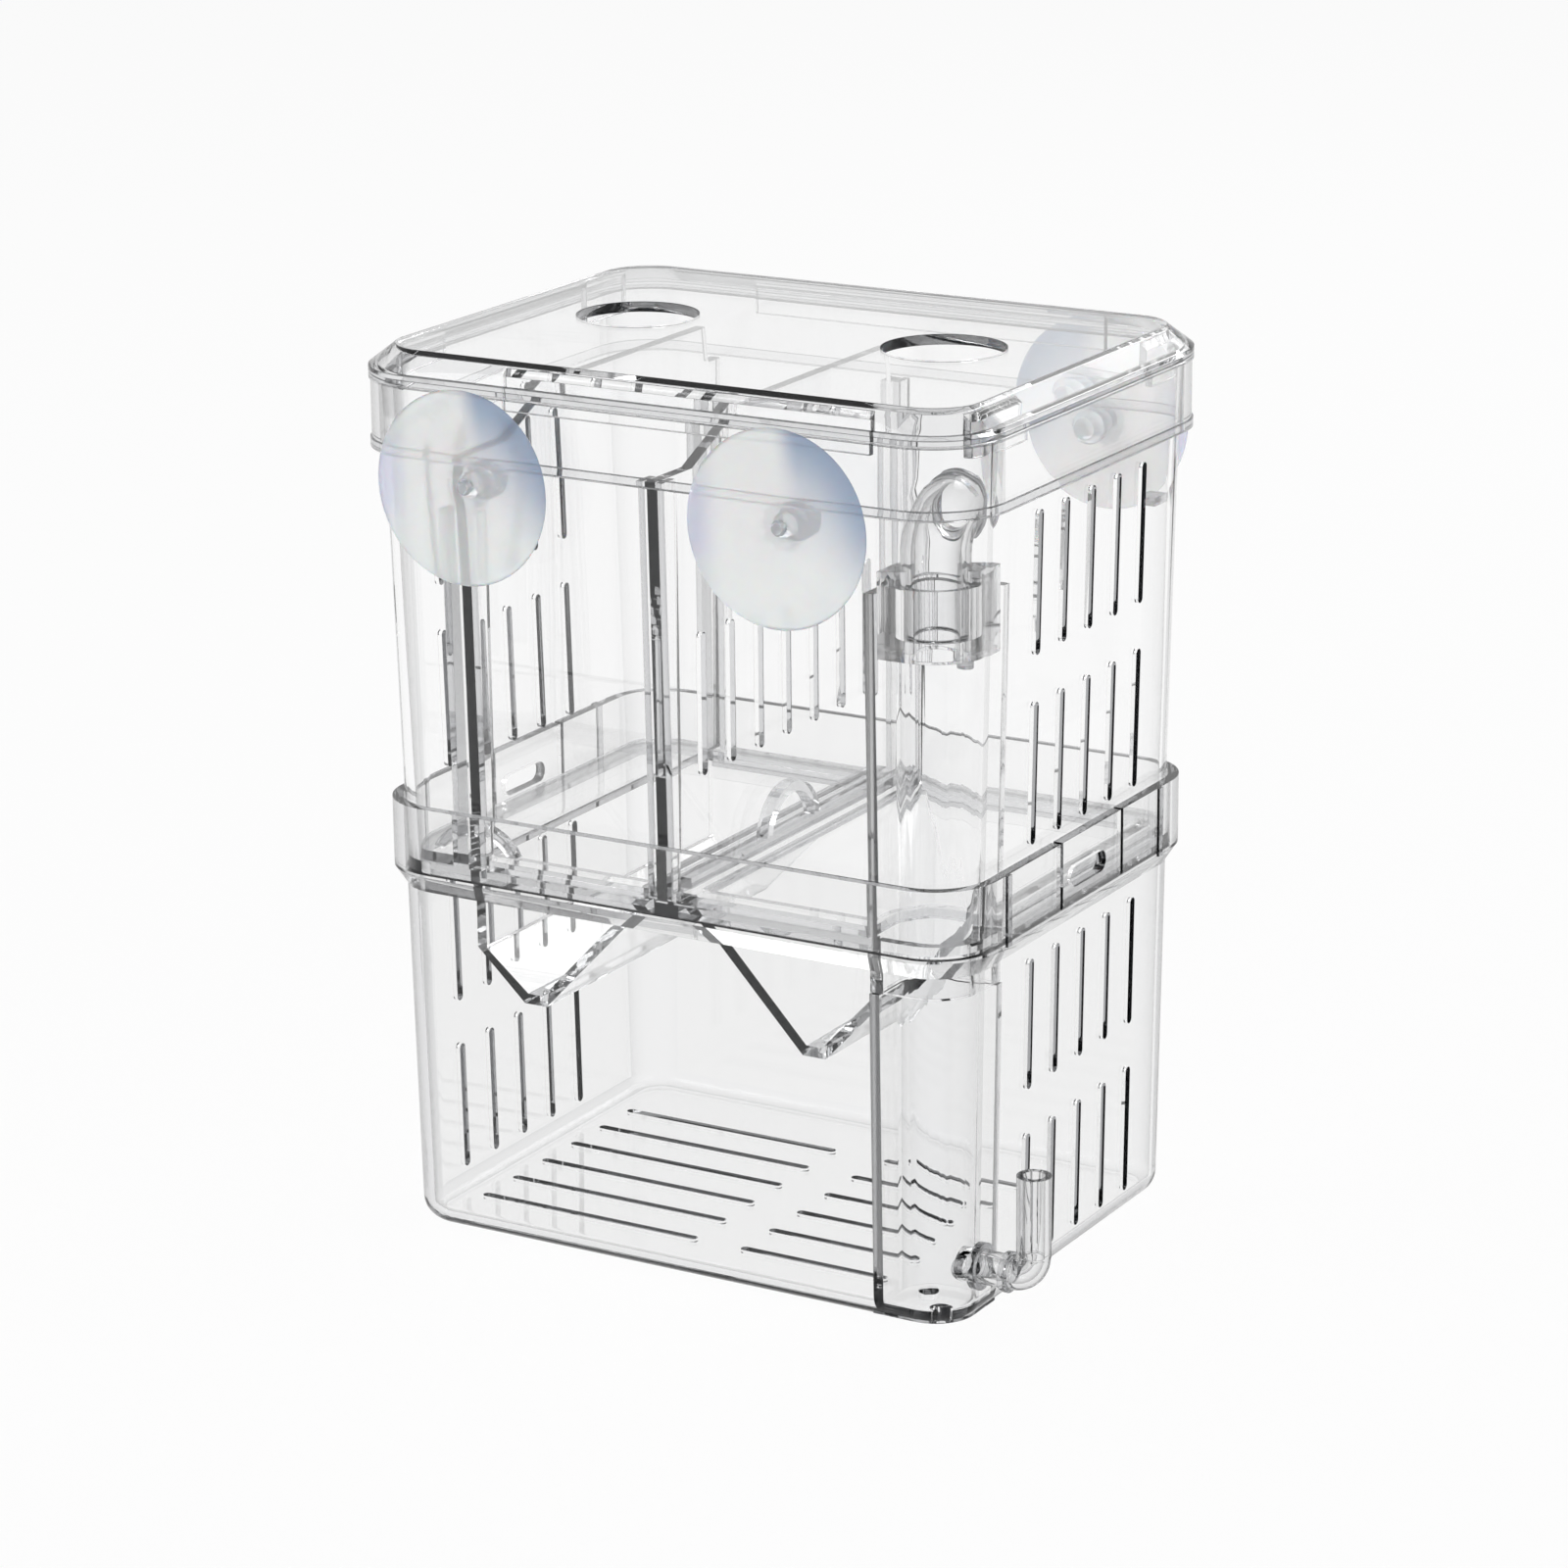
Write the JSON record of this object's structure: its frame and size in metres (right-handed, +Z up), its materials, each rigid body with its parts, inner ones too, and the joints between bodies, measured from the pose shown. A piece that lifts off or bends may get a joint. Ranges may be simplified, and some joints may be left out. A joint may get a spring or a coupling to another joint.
{
  "type": "fish breeding box",
  "caption": "Clear two-storey fish breeding box with slotted walls, lid, V-bottomed trays, dividers, air-lift column and suction cups.",
  "frame": {"origin": "centre of the tank's underside", "axes": "+Z up, +X along the long wall towards the air inlet, -Y towards the wall with two suction cups"},
  "size_m": [0.1397, 0.1072, 0.1706],
  "materials": {
    "clear_plastic": "clear, glossy",
    "milky_rubber": "milky, satin"
  },
  "bodies": {
    "tank": {"lower_tank": "clear_plastic"},
    "box": {"upper_box": "clear_plastic"},
    "lid": {"lid": "clear_plastic"},
    "plug": {"column_plug": "clear_plastic"},
    "outlet": {"outlet_elbow": "clear_plastic"},
    "air_inlet": {"air_inlet_elbow": "clear_plastic"},
    "tray_left": {"left_tray": "clear_plastic"},
    "tray_right": {"right_tray": "clear_plastic"},
    "divider_centre": {"centre_divider": "clear_plastic"},
    "divider_left": {"left_divider": "clear_plastic"},
    "cup_front_left": {"front_cup_left": "milky_rubber"},
    "cup_front_right": {"front_cup_right": "milky_rubber"},
    "cup_back": {"back_cup": "milky_rubber"}
  },
  "joints": [
    {"name": "box_lift", "type": "slide", "parent": "tank", "child": "box", "axis": [0, 0, 1], "range_m": [0, 0.03]},
    {"name": "lid_lift", "type": "slide", "parent": "box", "child": "lid", "axis": [0, 0, 1], "range_m": [0, 0.03]},
    {"name": "plug_lift", "type": "slide", "parent": "box", "child": "plug", "axis": [0, 0, 1], "range_m": [0, 0.01]},
    {"name": "outlet_swivel", "type": "hinge", "parent": "plug", "child": "outlet", "pos_m": [0.05179, -0.03644, 0.1432], "axis": [0, 0, 1], "range_deg": [-8, 95]},
    {"name": "inlet_swivel", "type": "hinge", "parent": "tank", "child": "air_inlet", "pos_m": [0.0598, -0.03644, 0.0115], "axis": [1, 0, 0], "range_deg": [-90, 90]},
    {"name": "left_tray_lift", "type": "slide", "parent": "box", "child": "tray_left", "axis": [0, 0, 1], "range_m": [0, 0.009]},
    {"name": "right_tray_lift", "type": "slide", "parent": "box", "child": "tray_right", "axis": [0, 0, 1], "range_m": [0, 0.06]},
    {"name": "centre_divider_lift", "type": "slide", "parent": "box", "child": "divider_centre", "axis": [0, 0, 1], "range_m": [0, 0.009]},
    {"name": "left_divider_lift", "type": "slide", "parent": "tray_left", "child": "divider_left", "axis": [0, 0, 1], "range_m": [0, 0.009]},
    {"name": "front_cup_left_turn", "type": "hinge", "parent": "box", "child": "cup_front_left", "pos_m": [-0.0358, -0.05, 0.1485], "axis": [0, 1, 0], "continuous": true},
    {"name": "front_cup_right_turn", "type": "hinge", "parent": "box", "child": "cup_front_right", "pos_m": [0.0295, -0.05, 0.1485], "axis": [0, 1, 0], "continuous": true},
    {"name": "back_cup_turn", "type": "hinge", "parent": "box", "child": "cup_back", "pos_m": [0.0387, 0.05, 0.1485], "axis": [0, 1, 0], "continuous": true}
  ]
}
